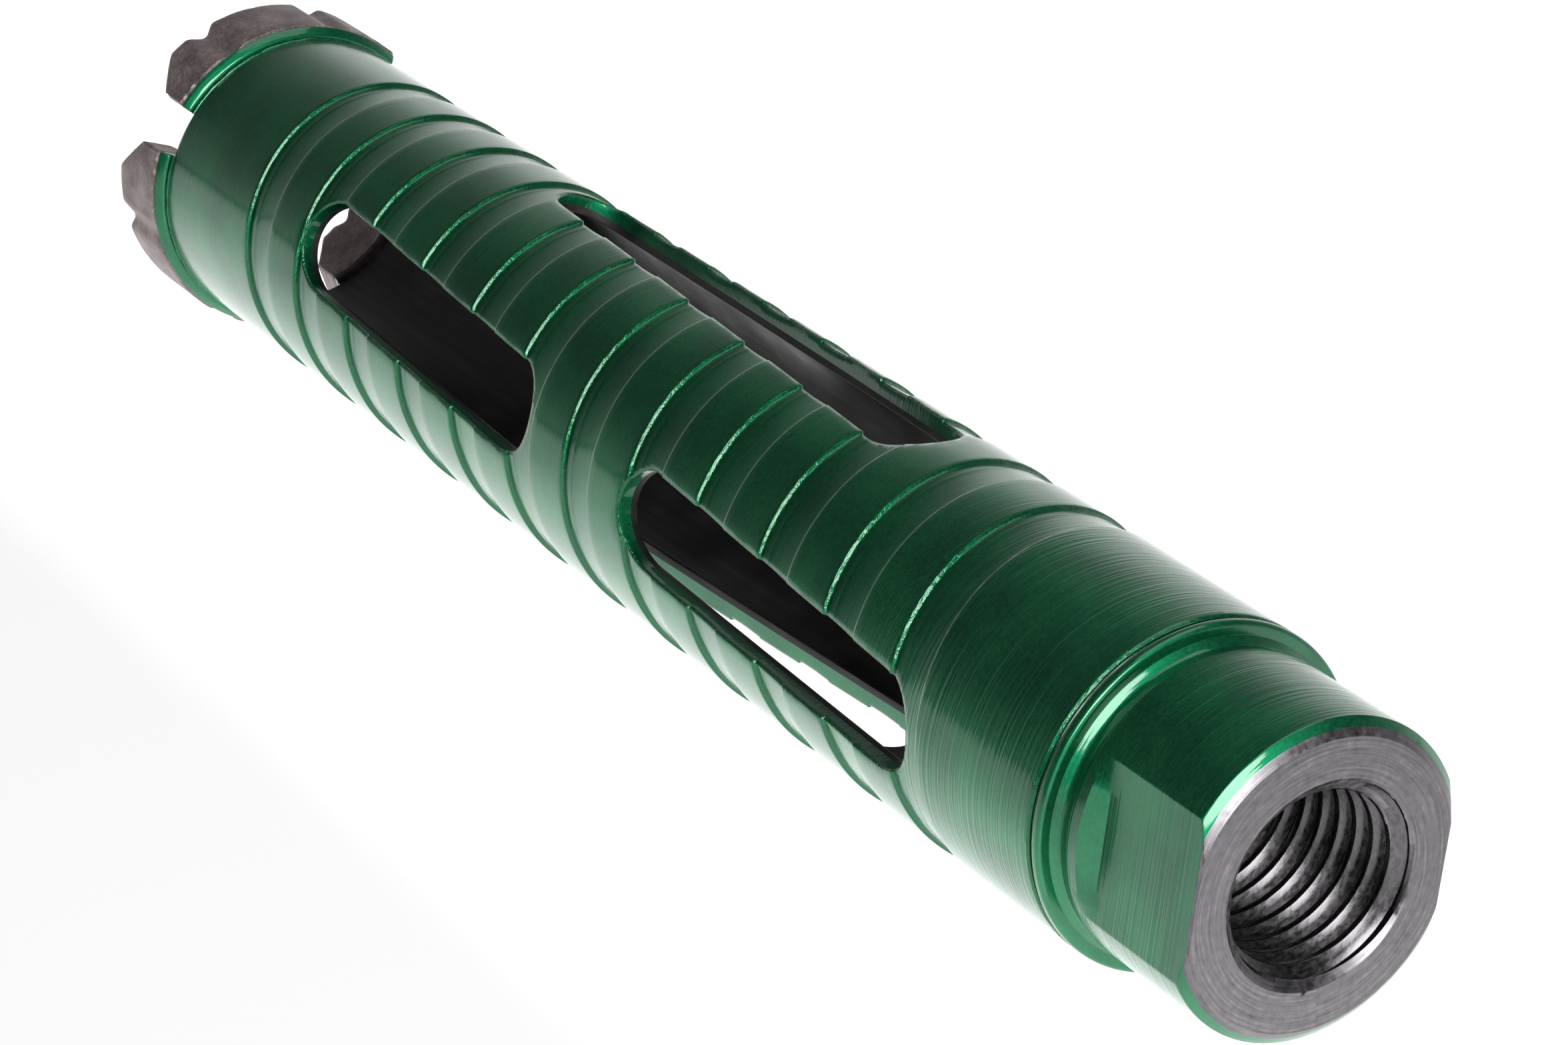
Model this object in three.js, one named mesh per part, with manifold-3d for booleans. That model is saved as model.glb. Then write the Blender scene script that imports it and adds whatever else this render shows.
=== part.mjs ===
// Dry diamond core bit: a threaded hub, a fluted and slotted steel barrel, and a crown of three
// sintered segments welded to the barrel's open end. Everything is rigid.
//
// Lengths are millimetres and angles are degrees. Each piece is drawn in the bit's own frame: Z runs
// along the spin axis from the hub's mounting face (0) to the cutting edge, and an angle is measured
// about Z from +X, which is the side that faces up when the bit lies down. The group at the end lays
// the bit on its side: its axis is the part's X axis, with the mounting face at the origin facing +X.

import * as THREE from 'three';
import { mergeVertices } from 'three/addons/utils/BufferGeometryUtils.js';
import Module from 'manifold-3d';

const wasm = await Module();
wasm.setup();

// ---- driving dimensions -------------------------------------------------------------------------

const FACETS = 36; // flat faces round a turned surface
const FACET_ANGLE = 360 / FACETS;

const BARREL_RADIUS = 14;
const WALL = 2;
const BORE_RADIUS = BARREL_RADIUS - WALL;
const BARREL_START = 16.25;
const BARREL_END = 161.3;
const BARREL_CHAMFER = 0.35;

const FLUTE_PITCH = 9.9;
const FLUTE_WIDTH = 4.4;
const FLUTE_DEPTH = 0.36;
const FLUTE_MID_DEPTH = 0.29;
const FLUTE_MID_FROM_WALL = 1.3;
const FLUTE_WALL_LEAN = 0.12;
const FLUTE_WALL_Z_AT_ZERO = 37.9; // where the steep wall of the first turn crosses angle 0
const FLUTE_START_ANGLE = -220;
const FLUTE_END_ANGLE = 4070;
const FLUTE_FADE_ANGLE = 50; // the cutter eases in and out over this angle
const FLUTE_CLEARANCE = 0.1; // height of the lifted cutter above the barrel at its two ends

const SLOT_WIDTH = 8;
const SLOT_MIDDLE = 84; // the slot pattern is symmetric about this distance from the face
const SHORT_SLOT_LENGTH = 43;
const LONG_SLOT_LENGTH = 63;
const BRIDGE = 16; // wall left between the two short slots of one row
const SLOT_TWIST = 0.25; // degrees that a slot's centre line turns per millimetre
const FIRST_ROW_ANGLE = -75;

const GULLET_ANGLES = [-60, 56, 171.5]; // one segment lies between each gullet and the next
const GULLET_GAP = 18; // angle between the ends of two neighbouring segments
const CROWN_STEP = 6; // longest step round a foot or a seam
const LAYER_STEP = 3;

const SEAM_START = 161.35;
const SEAM_END = 161.65;
const SEAM_RADIUS = 14.18;
const FOOT_START = 161.7;
const FOOT_END = 162.5;
const FOOT_RADIUS = 14.9;
const FOOT_CHAMFER = 0.6;
const LAYER_START = 162.55;
const CUTTING_EDGE = 170;
const CROWN_RADIUS = 15.1;
const CROWN_BORE_RADIUS = 11.6;
const LAYER_EDGE_BREAK = 0.5;
const SHOULDER_HEIGHT = 166; // where a segment's end wall turns into its sloping corner
const SHOULDER_ANGLE = 14;
const VALLEY_ANGLE = 22; // each segment has a shallow valley this far to either side of its middle
const VALLEY_HALF_WIDTH = 6;
const VALLEY_RADIAL_DEPTH = 0.5;
const VALLEY_AXIAL_DEPTH = 0.8;

const NECK_RADIUS = 12.7;
const FACE_RADIUS = 11.5;
const FACE_CHAMFER = 0.9;
const RELIEF_RADIUS = 12.35;
const RELIEF_START = 13.2;
const RELIEF_LEAD = 0.3;
const RELIEF_END = 14.6;
const FLANGE_ROOT_RADIUS = 12.75;
const FLANGE_FACE = 15;
const FLANGE_BACK = 15.9;
const FLANGE_EDGE_RADIUS = 0.4;
const FLANGE_BACK_CHAMFER = 0.25;
const SPIGOT_RADIUS = 11.9;
const HUB_END = 27;
const SPIGOT_CHAMFER = 0.8;
const WRENCH_SIZE = 22; // across the two flats
const FLAT_LENGTH = 11.7;
const FLAT_ANGLE = -82.3;
const FLAT_CUTTER_DEPTH = 5;

const THREAD_PITCH = 2; // M16 x 2, internal, right-hand
const THREAD_MAJOR_RADIUS = 8;
const THREAD_MINOR_RADIUS = 6.92;
const THREAD_ROOT_FLAT = THREAD_PITCH / 8;
const THREAD_END = 22;
const THREAD_STEPS = 24; // steps in one turn
const THREAD_OVERLAP = 0.3; // how far the thread cutter reaches into the open bore
const THREAD_FLANK = 30; // lean of a flank from square to the axis
const COUNTERSINK_RADIUS = 8.3;
const COUNTERSINK_DEPTH = 1.2;
const RUNOUT_RADIUS = 8.3;

const RING_START = 15.95;
const RING_END = 16.2;
const RING_RADIUS = 13.72;

const OVERRUN = 1; // how far a cutter passes the face that it opens through

// ---- shape helpers ------------------------------------------------------------------------------

function polar(radius, angle, z) {
  const a = THREE.MathUtils.degToRad(angle);
  return new THREE.Vector3(radius * Math.cos(a), radius * Math.sin(a), z);
}

function at(radius, z) {
  return new THREE.Vector2(radius, z);
}

// Angles from start to end in equal steps no longer than longest.
function steps(start, end, longest) {
  const count = Math.ceil((end - start) / longest - 1e-9);
  return Array.from({ length: count + 1 }, (_, i) => start + ((end - start) * i) / count);
}

// A closed body through a row of rings, each with the same number of points. The rings' outlines are
// convex and run counter-clockwise as seen from outside the first end.
function loft(rings) {
  const size = rings[0].length;
  const middleOf = (ring) => ring.reduce((sum, p) => sum.add(p), new THREE.Vector3()).divideScalar(size);
  const firstMiddle = rings.length * size;
  const lastMiddle = firstMiddle + 1;
  const lastRing = firstMiddle - size;
  const index = [];
  for (let j = 0; j < size; j += 1) {
    const k = (j + 1) % size;
    index.push(firstMiddle, j, k, lastMiddle, lastRing + k, lastRing + j);
    for (let row = 0; row < lastRing; row += size) {
      index.push(row + j, row + size + j, row + size + k, row + j, row + size + k, row + k);
    }
  }
  const points = [...rings.flat(), middleOf(rings[0]), middleOf(rings[rings.length - 1])];
  const geometry = new THREE.BufferGeometry().setFromPoints(points);
  geometry.setIndex(index);
  return geometry;
}

// A body swept about Z through the given angles. sectionAt returns its (radius, z) outline there.
function arcSweep(angles, sectionAt) {
  return loft(angles.map((angle) => sectionAt(angle).map((p) => polar(p.x, angle, p.y))));
}

// A full turn about Z of a closed counter-clockwise (radius, z) outline.
function turned(outline, facets = FACETS) {
  const geometry = new THREE.LatheGeometry([...outline, outline[0]], facets);
  geometry.rotateX(Math.PI / 2);
  return geometry;
}

// A bar through the wall with parallel sides. outline holds (sideways, z) points, and centreAngle
// gives the direction that the bar points in at each z.
function wallCutter(outline, centreAngle) {
  const ringAt = (radius) => outline.map((p) => {
    const middle = polar(radius, centreAngle(p.y), p.y);
    return middle.add(polar(p.x, centreAngle(p.y) + 90, 0));
  });
  return loft([ringAt(BARREL_RADIUS + OVERRUN), ringAt(BORE_RADIUS - OVERRUN)]);
}

function toSolid(geometry) {
  const bare = geometry.clone();
  bare.deleteAttribute('normal');
  bare.deleteAttribute('uv');
  const merged = mergeVertices(bare, 1e-5);
  const corners = merged.index.array;
  const triVerts = [];
  for (let i = 0; i < corners.length; i += 3) {
    const [a, b, c] = corners.slice(i, i + 3);
    if (a !== b && b !== c && c !== a) {
      triVerts.push(a, b, c);
    }
  }
  return new wasm.Manifold(new wasm.Mesh({
    numProp: 3,
    vertProperties: new Float32Array(merged.attributes.position.array),
    triVerts: new Uint32Array(triVerts),
  }));
}

function cut(body, cutters) {
  const solid = cutters.reduce((rest, cutter) => rest.subtract(toSolid(cutter)), toSolid(body));
  const mesh = solid.getMesh();
  const geometry = new THREE.BufferGeometry();
  geometry.setAttribute('position', new THREE.BufferAttribute(mesh.vertProperties, 3));
  geometry.setIndex(new THREE.BufferAttribute(mesh.triVerts, 1));
  return geometry;
}

// ---- barrel -------------------------------------------------------------------------------------

function fluteCutter() {
  const outside = BARREL_RADIUS + OVERRUN;
  const bottom = BARREL_RADIUS - FLUTE_DEPTH;
  const middle = BARREL_RADIUS - FLUTE_MID_DEPTH;
  const slope = FLUTE_MID_DEPTH / (FLUTE_WIDTH - FLUTE_MID_FROM_WALL);
  return arcSweep(steps(FLUTE_START_ANGLE, FLUTE_END_ANGLE, FACET_ANGLE), (angle) => {
    const wall = FLUTE_WALL_Z_AT_ZERO + (FLUTE_PITCH * angle) / 360;
    const fromEnd = Math.min(angle - FLUTE_START_ANGLE, FLUTE_END_ANGLE - angle);
    const lift = (FLUTE_DEPTH + FLUTE_CLEARANCE) * Math.max(0, 1 - fromEnd / FLUTE_FADE_ANGLE);
    const entry = wall - FLUTE_WIDTH - OVERRUN;
    return [
      at(BARREL_RADIUS + slope * OVERRUN + lift, entry),
      at(outside + lift, entry),
      at(outside + lift, wall + (FLUTE_WALL_LEAN * (outside - BARREL_RADIUS)) / FLUTE_DEPTH),
      at(bottom + lift, wall - FLUTE_WALL_LEAN),
      at(middle + lift, wall - FLUTE_MID_FROM_WALL),
    ];
  });
}

function slotOutline(middle, length) {
  const radius = SLOT_WIDTH / 2;
  const reach = length / 2 - radius;
  const outline = [];
  for (const side of [1, -1]) {
    for (const turn of steps(0, 180, 20)) {
      const p = polar(radius, side > 0 ? turn : turn + 180, 0);
      outline.push(at(p.x, middle + side * reach + p.y));
    }
    for (const along of steps(-reach, reach, 10).slice(1, -1)) {
      outline.push(at(-side * radius, middle - side * along));
    }
  }
  return outline;
}

function slotCutters() {
  const offset = (SHORT_SLOT_LENGTH + BRIDGE) / 2;
  const shortRow = [[-offset, SHORT_SLOT_LENGTH], [offset, SHORT_SLOT_LENGTH]];
  const longRow = [[0, LONG_SLOT_LENGTH]];
  const cutters = [];
  [shortRow, longRow, shortRow, longRow].forEach((row, i) => {
    const centreAngle = (z) => FIRST_ROW_ANGLE + 90 * i + SLOT_TWIST * (z - SLOT_MIDDLE);
    for (const [shift, length] of row) {
      cutters.push(wallCutter(slotOutline(SLOT_MIDDLE + shift, length), centreAngle));
    }
  });
  return cutters;
}

function barrelTube() {
  const body = turned([
    at(BORE_RADIUS, BARREL_START),
    at(BARREL_RADIUS - BARREL_CHAMFER, BARREL_START),
    at(BARREL_RADIUS, BARREL_START + BARREL_CHAMFER),
    at(BARREL_RADIUS, BARREL_END),
    at(BORE_RADIUS, BARREL_END),
  ]);
  return cut(body, [fluteCutter(), ...slotCutters()]);
}

// ---- hub ----------------------------------------------------------------------------------------

function threadCutter() {
  const inner = THREAD_MINOR_RADIUS - THREAD_OVERLAP;
  const flank = Math.tan(THREE.MathUtils.degToRad(THREAD_FLANK));
  const halfRoot = THREAD_ROOT_FLAT / 2;
  const halfMouth = halfRoot + (THREAD_MAJOR_RADIUS - inner) * flank;
  const last = (360 * (THREAD_END + halfMouth)) / THREAD_PITCH;
  return arcSweep(steps(-180, last, 360 / THREAD_STEPS), (angle) => {
    const z = (THREAD_PITCH * angle) / 360;
    return [
      at(inner, z - halfMouth),
      at(THREAD_MAJOR_RADIUS, z - halfRoot),
      at(THREAD_MAJOR_RADIUS, z + halfRoot),
      at(inner, z + halfMouth),
    ];
  });
}

function boreCutter() {
  const lead = RUNOUT_RADIUS - THREAD_MINOR_RADIUS;
  return turned([
    at(0, -OVERRUN),
    at(COUNTERSINK_RADIUS + OVERRUN, -OVERRUN),
    at(COUNTERSINK_RADIUS, 0),
    at(THREAD_MINOR_RADIUS, COUNTERSINK_DEPTH),
    at(THREAD_MINOR_RADIUS, THREAD_END),
    at(RUNOUT_RADIUS, THREAD_END + lead),
    at(RUNOUT_RADIUS, HUB_END + OVERRUN),
    at(0, HUB_END + OVERRUN),
  ], THREAD_STEPS);
}

function wrenchFlatCutter(angle) {
  const length = FLAT_LENGTH + OVERRUN;
  const cutter = new THREE.BoxGeometry(FLAT_CUTTER_DEPTH, 3 * NECK_RADIUS, length);
  cutter.translate((WRENCH_SIZE + FLAT_CUTTER_DEPTH) / 2, 0, FLAT_LENGTH - length / 2);
  cutter.rotateZ(THREE.MathUtils.degToRad(angle));
  return cutter;
}

function threadedHub() {
  const corner = FLANGE_EDGE_RADIUS;
  const rounded = steps(-90, 0, 30).map((turn) => {
    const p = polar(corner, turn, 0);
    return at(BARREL_RADIUS - corner + p.x, FLANGE_FACE + corner + p.y);
  });
  const body = turned([
    at(THREAD_MINOR_RADIUS - OVERRUN, 0),
    at(FACE_RADIUS, 0),
    at(NECK_RADIUS, FACE_CHAMFER),
    at(NECK_RADIUS, RELIEF_START),
    at(RELIEF_RADIUS, RELIEF_START + RELIEF_LEAD),
    at(RELIEF_RADIUS, RELIEF_END),
    at(FLANGE_ROOT_RADIUS, FLANGE_FACE),
    ...rounded,
    at(BARREL_RADIUS, FLANGE_BACK - FLANGE_BACK_CHAMFER),
    at(BARREL_RADIUS - FLANGE_BACK_CHAMFER, FLANGE_BACK),
    at(SPIGOT_RADIUS, FLANGE_BACK),
    at(SPIGOT_RADIUS, HUB_END - SPIGOT_CHAMFER),
    at(SPIGOT_RADIUS - SPIGOT_CHAMFER, HUB_END),
    at(THREAD_MINOR_RADIUS - OVERRUN, HUB_END),
  ]);
  const flats = [FLAT_ANGLE, FLAT_ANGLE + 180].map(wrenchFlatCutter);
  return cut(body, [boreCutter(), threadCutter(), ...flats]);
}

function brazeRing() {
  return turned([
    at(BORE_RADIUS, RING_START),
    at(RING_RADIUS, RING_START),
    at(RING_RADIUS, RING_END),
    at(BORE_RADIUS, RING_END),
  ]);
}

// ---- crown --------------------------------------------------------------------------------------

// Where each segment starts and ends, as angles that rise from the first gullet on.
function segmentSpans() {
  return GULLET_ANGLES.map((gullet, i) => {
    const next = GULLET_ANGLES[i + 1] ?? GULLET_ANGLES[0] + 360;
    return [gullet + GULLET_GAP / 2, next - GULLET_GAP / 2];
  });
}

function weldSeam([start, end]) {
  const half = (SEAM_END - SEAM_START) / 2;
  return arcSweep(steps(start, end, CROWN_STEP), () => [
    at(BORE_RADIUS, SEAM_START),
    at(BARREL_RADIUS, SEAM_START),
    at(SEAM_RADIUS, SEAM_START + half),
    at(BARREL_RADIUS, SEAM_END),
    at(BORE_RADIUS, SEAM_END),
  ]);
}

function segmentFoot([start, end]) {
  return arcSweep(steps(start, end, CROWN_STEP), () => [
    at(CROWN_BORE_RADIUS, FOOT_START),
    at(FOOT_RADIUS - FOOT_CHAMFER, FOOT_START),
    at(FOOT_RADIUS, FOOT_START + FOOT_CHAMFER),
    at(FOOT_RADIUS, FOOT_END),
    at(CROWN_BORE_RADIUS, FOOT_END),
  ]);
}

function cuttingLayer([start, end]) {
  const slope = (CUTTING_EDGE - SHOULDER_HEIGHT) / SHOULDER_ANGLE;
  const middle = (start + end) / 2;
  return arcSweep(steps(start, end, LAYER_STEP), (angle) => {
    const fromMiddle = Math.abs(angle - middle);
    const intoValley = 1 - Math.abs(fromMiddle - VALLEY_ANGLE) / VALLEY_HALF_WIDTH;
    const valley = Math.sin((Math.PI / 2) * Math.max(0, intoValley)) ** 2;
    const corner = SHOULDER_HEIGHT + (end - middle - fromMiddle) * slope;
    const top = Math.min(CUTTING_EDGE, corner) - VALLEY_AXIAL_DEPTH * valley;
    const outer = CROWN_RADIUS - VALLEY_RADIAL_DEPTH * valley;
    return [
      at(CROWN_BORE_RADIUS, LAYER_START),
      at(outer, LAYER_START),
      at(outer, top - LAYER_EDGE_BREAK),
      at(outer - LAYER_EDGE_BREAK, top),
      at(CROWN_BORE_RADIUS + LAYER_EDGE_BREAK, top),
      at(CROWN_BORE_RADIUS, top - LAYER_EDGE_BREAK),
    ];
  });
}

// ---- materials and assembly ---------------------------------------------------------------------

function finish(color, roughness, metalness) {
  return new THREE.MeshStandardMaterial({ color, roughness, metalness });
}

const lacquer = finish(0x0d4a2b, 0.28, 0.75);
const brightSteel = finish(0x8d8a90, 0.4, 1);
const filler = finish(0x0b3822, 0.4, 0.6);
const weldMetal = finish(0x11432a, 0.45, 0.7);
const sintered = finish(0x75676a, 0.65, 0.6);

const bit = new THREE.Group();

function addPiece(name, geometry, material) {
  const mesh = new THREE.Mesh(geometry, material);
  mesh.name = name;
  bit.add(mesh);
}

addPiece('threaded_hub', threadedHub(), brightSteel);
addPiece('hub_braze_ring', brazeRing(), filler);
addPiece('barrel_tube', barrelTube(), lacquer);
segmentSpans().forEach((span, i) => {
  addPiece(`segment_${i + 1}_weld_seam`, weldSeam(span), weldMetal);
  addPiece(`segment_${i + 1}_foot`, segmentFoot(span), lacquer);
  addPiece(`segment_${i + 1}_cutting_layer`, cuttingLayer(span), sintered);
});

bit.rotation.y = -Math.PI / 2;

const part = new THREE.Group();
part.add(bit);

export default part;
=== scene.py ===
"""Looks for the dry diamond core bit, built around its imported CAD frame.

Sizes here are millimetres in the bit's own terms: z is the distance from the hub's mounting face
towards the crown, r is the distance from the spin axis, and an angle is measured round the axis from
the side that faces up, in degrees. place() turns them into the row frame in metres.
"""

import math

import bmesh
import bpy
import numpy as np
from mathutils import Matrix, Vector, noise


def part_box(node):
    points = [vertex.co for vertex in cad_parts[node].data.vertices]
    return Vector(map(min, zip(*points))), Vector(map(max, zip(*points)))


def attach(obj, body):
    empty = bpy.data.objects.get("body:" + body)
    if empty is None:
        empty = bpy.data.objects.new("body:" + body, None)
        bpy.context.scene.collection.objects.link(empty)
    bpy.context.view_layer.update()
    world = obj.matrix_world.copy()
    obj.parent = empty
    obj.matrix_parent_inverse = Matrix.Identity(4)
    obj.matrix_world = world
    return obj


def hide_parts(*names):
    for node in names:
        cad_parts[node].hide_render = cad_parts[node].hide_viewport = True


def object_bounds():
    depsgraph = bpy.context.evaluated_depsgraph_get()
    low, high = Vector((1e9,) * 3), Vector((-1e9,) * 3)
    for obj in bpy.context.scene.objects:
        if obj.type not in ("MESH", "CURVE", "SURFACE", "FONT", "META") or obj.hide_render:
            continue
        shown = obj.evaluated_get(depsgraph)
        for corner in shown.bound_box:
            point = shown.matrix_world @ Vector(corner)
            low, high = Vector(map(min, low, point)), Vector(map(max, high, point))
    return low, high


MM = 0.001

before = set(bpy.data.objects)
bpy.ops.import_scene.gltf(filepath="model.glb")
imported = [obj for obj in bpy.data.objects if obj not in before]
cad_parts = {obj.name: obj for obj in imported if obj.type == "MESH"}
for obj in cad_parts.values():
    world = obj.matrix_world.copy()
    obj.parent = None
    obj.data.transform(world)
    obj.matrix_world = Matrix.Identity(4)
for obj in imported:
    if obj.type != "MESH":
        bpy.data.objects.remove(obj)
cad_low, cad_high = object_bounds()


def node_range(node):
    """(start, end) of a CAD node along the bit, and its largest distance from the axis sideways."""
    low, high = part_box(node)
    return -high.x / MM, -low.x / MM, max(high.y, -low.y) / MM


# ---- driving dimensions -------------------------------------------------------------------------

BARREL_START, BARREL_END, BARREL_RADIUS = (round(v, 3) for v in node_range("barrel_tube"))
BARREL_RADIUS = round(BARREL_RADIUS, 1)
WALL = 2.0
BORE_RADIUS = BARREL_RADIUS - WALL
BEVEL = 0.18  # rounding of the barrel's cut edges
BEVEL_RINGS = 5  # rings of points round each rounded edge of a cut wall
WALL_RING_DEPTH = 0.7  # one more ring runs round a cut wall this far from each of its two edges
LACQUERED_STRIPS = 6  # of the strips between rings, those that carry lacquer: all but the bore's edge

FLUTE_PITCH = 9.9
FLUTE_WALL_Z = 37.9  # the steep wall of the first turn crosses angle 0 here
FLUTE_FIRST, FLUTE_LAST = -220.0, 4070.0  # angle, counted on over the turns, at its two ends
FLUTE_FADE = 50.0  # angle over which each end runs out
FLUTE_WIDTH, FLUTE_DEPTH, FLUTE_DEEPEST, FLUTE_END_DEPTH = 4.4, 0.31, 0.9, 0.14
# Distances from the steep wall towards the hub at which the mesh has a line: down the wall, over
# the floor and its tool mark, up the small step at the floor's end, and over the land.
WALL_STEPS = (-0.06, -0.01, 0.03, 0.09, 0.15, 0.19)
MARK_STEPS = (1.0, 1.12, 1.2)
FLOOR_STEPS = (0.26, 0.6) + MARK_STEPS + (1.7, 2.3, 2.9, 3.5, 4.0)
END_STEPS = (4.13, 4.21, 4.28, 4.35, 4.42, 4.50)
LAND_STEPS = (5.2, 6.0, 6.9, 7.8, 8.7, 9.4)
WALL_SHARES = (0.0, 0.05, 0.2, 0.6, 0.92, 1.0)  # of the flute's depth, at each of WALL_STEPS
END_SHARES = (1.0, 0.95, 0.76, 0.33, 0.07, 0.0)  # of the flute's depth, at each of END_STEPS
MARK_HEIGHT = 0.012
DRESSED_REACH, DRESSED_DEPTH = 0.7, 0.2  # the land is dressed this near a slot, towards this depth
DRESSED_SHARE = 0.5
SHADE_AND_TEAR_MIDDLE, SHADE_AND_TEAR_REACH = 0.06, 0.2  # painted shade and torn relief on the steep wall, measured like WALL_STEPS
RIM_SHADE_AND_TEAR, BEVEL_SHADE_AND_TEAR = 0.6, (0.9, 1.0, 0.9, 0.3)  # painted shade and torn relief round the slots, ring by ring

SLOT_WIDTH = 8.0
SLOT_MIDDLE = 84.0
SLOT_TWIST = 0.25
SHORT_SLOT, LONG_SLOT, BRIDGE = 43.0, 63.0, 16.0
ROW_ANGLES = (-75.0, 15.0, 105.0, 195.0)
HALF_ROW = 45.0  # half the angle between neighbouring rows

GULLET_ANGLES = (-60.0, 56.0, 171.5)
GULLET_GAP = 18.0  # angle between the ends of neighbouring segments

THREAD_PITCH, THREAD_MAJOR, THREAD_MINOR, THREAD_END = 2.0, 8.0, 6.92, 22.0
THREAD_FIRST_TURN, THREAD_LAST_TURN = -2, 13
# Half of the thread's outline: distance along the axis from the middle of the root, and radius.
THREAD_PHASES = (0.0, 0.10, 0.15, 0.70, 0.76, 0.84, 1.0)
THREAD_RADII = (THREAD_MAJOR, THREAD_MAJOR, 7.965, 7.0, 6.935, THREAD_MINOR, THREAD_MINOR)
# Distances into one pitch at which the mesh has a line.
THREAD_LINES = (0.0, 0.10, 0.15, 0.42, 0.70, 0.76, 0.84, 1.0, 1.16, 1.24, 1.30, 1.58, 1.85, 1.90)
COUNTERSINK, COUNTERSINK_DEPTH = 8.3, 1.2
COUNTERSINK_SLOPE = (COUNTERSINK - THREAD_MINOR) / COUNTERSINK_DEPTH
NECK_RADIUS, FACE_RADIUS, FACE_CHAMFER = 12.7, 11.5, 0.9
LACQUER_START = 0.06  # the mounting face is bare up to this distance along the bit
FLAT_APOTHEM, FLAT_LENGTH, FLAT_ANGLE = 11.0, 11.7, -82.3
FLAT_EDGE = 0.06  # rounding of a wrench flat's long edges
# A wrench flat ends in a wall: places along the bit and how far the wall has risen there.
FLAT_END_PLACES = (11.60, 11.66, 11.69, 11.71, 11.73)
FLAT_END_RISES = (0.0, 0.03, 0.12, 2.0, 9.0)
NECK_END = 13.2
RELIEF_START, RELIEF_END, RELIEF_RADIUS = 13.55, 14.45, 12.35  # the groove before the flange
FLANGE_ROOT = 12.95
FLANGE_FACE, FLANGE_BACK = 15.0, 15.9
FLANGE_BARE_RADIUS = 13.2  # the flange's back is bare inside this radius
SPIGOT_RADIUS, SPIGOT_CHAMFER, HUB_END = 11.9, 0.8, 27.0

FILLET_START, FILLET_END, FILLET_BORE = 15.92, 16.24, 12.1
FILLET_OUTSIDE = ((13.66, 15.92), (13.60, 15.98), (13.52, 16.07), (13.60, 16.17), (13.68, 16.24))
FILLET_WAVE, FILLET_CALM = 0.02, 0.1  # height of its waves, and how far from its edges they start

SEAM_START, SEAM_END, SEAM_RADIUS = 161.32, 161.68, 14.1
SEAM_RIPPLES = ((0.03, 40), (0.02, 23))  # height of the bead's ripples, and how many in a turn
SEAM_WANDER = (0.03, 31)
FOOT_START, FOOT_CHAMFER, FOOT_RADIUS, LAYER_START = 161.7, 0.6, 14.9, 162.53
CROWN_RADIUS, CROWN_BORE, CUTTING_EDGE = 15.1, 11.6, 170.0
BORE_SIDE = 0.9  # faces of a segment this close to the crown's bore are the bore's
# A segment's top falls to SHOULDER_Z at its ends, and dips in two valleys either side of its middle.
SHOULDER_Z, SHOULDER_ANGLE, SHOULDER_ROUNDING = 166.0, 14.0, 0.3
VALLEY_ANGLE, VALLEY_HALF, VALLEY_DEPTH_R, VALLEY_DEPTH_Z = 22.0, 6.5, 0.55, 0.8
LAYER_CORNERS = (0.15, 0.15, 0.75, 0.6)  # edge radii: inner start, outer start, outer top, inner top
LAYER_POINTS, FOOT_POINTS, SEAM_POINTS = 60, 40, 36  # points round each outline
COARSE_GRAIN, FINE_GRAIN = 0.55, 2.1  # features per millimetre of the cutting layers' roughness

CAMERA_TARGET = Vector((-0.0720, -0.0004, -0.0004))
CAMERA_AZIMUTH, CAMERA_ELEVATION, CAMERA_DISTANCE = 58.65, 25.04, 0.4014
CAMERA_LENS, CAMERA_SENSOR = 113.0, 36.0


# ---- camera -------------------------------------------------------------------------------------

def make_camera():
    """Looks at the bit from above, over its hub end."""
    azimuth, elevation = math.radians(CAMERA_AZIMUTH), math.radians(CAMERA_ELEVATION)
    back = Vector((
        math.sin(azimuth) * math.cos(elevation),
        -math.cos(azimuth) * math.cos(elevation),
        math.sin(elevation),
    ))
    data = bpy.data.cameras.new("camera")
    data.lens = CAMERA_LENS
    data.sensor_width = CAMERA_SENSOR
    data.clip_start, data.clip_end = 0.01, 20.0
    camera = bpy.data.objects.new("camera", data)
    bpy.context.collection.objects.link(camera)
    camera.location = CAMERA_TARGET + back * CAMERA_DISTANCE
    camera.rotation_euler = (-back).to_track_quat("-Z", "Y").to_euler()
    bpy.context.scene.camera = camera


make_camera()


# ---- mesh helpers -------------------------------------------------------------------------------

def place(r, angle, z):
    """Points of the row frame, in metres, from radius, angle and distance along the bit."""
    a = np.radians(angle)
    r, a, z = np.broadcast_arrays(np.asarray(r, float), a, np.asarray(z, float))
    return np.stack([-z, r * np.sin(a), r * np.cos(a)], -1) * MM


def make_object(name, points, faces, materials, face_material=None, edge=None):
    """A smooth-shaded mesh object. edge is a weight per point that the lacquer reads as painted shade
    and torn relief.
    """
    mesh = bpy.data.meshes.new(name)
    mesh.from_pydata([tuple(p) for p in points], [], faces)
    for material in materials:
        mesh.materials.append(material)
    if face_material is not None:
        mesh.polygons.foreach_set("material_index", face_material)
    if edge is not None:
        layer = mesh.attributes.new("edge", "FLOAT", "POINT")
        layer.data.foreach_set("value", np.asarray(edge, np.float32))
    tidy_mesh(mesh)
    piece = bpy.data.objects.new(name, mesh)
    bpy.context.collection.objects.link(piece)
    return piece


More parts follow.
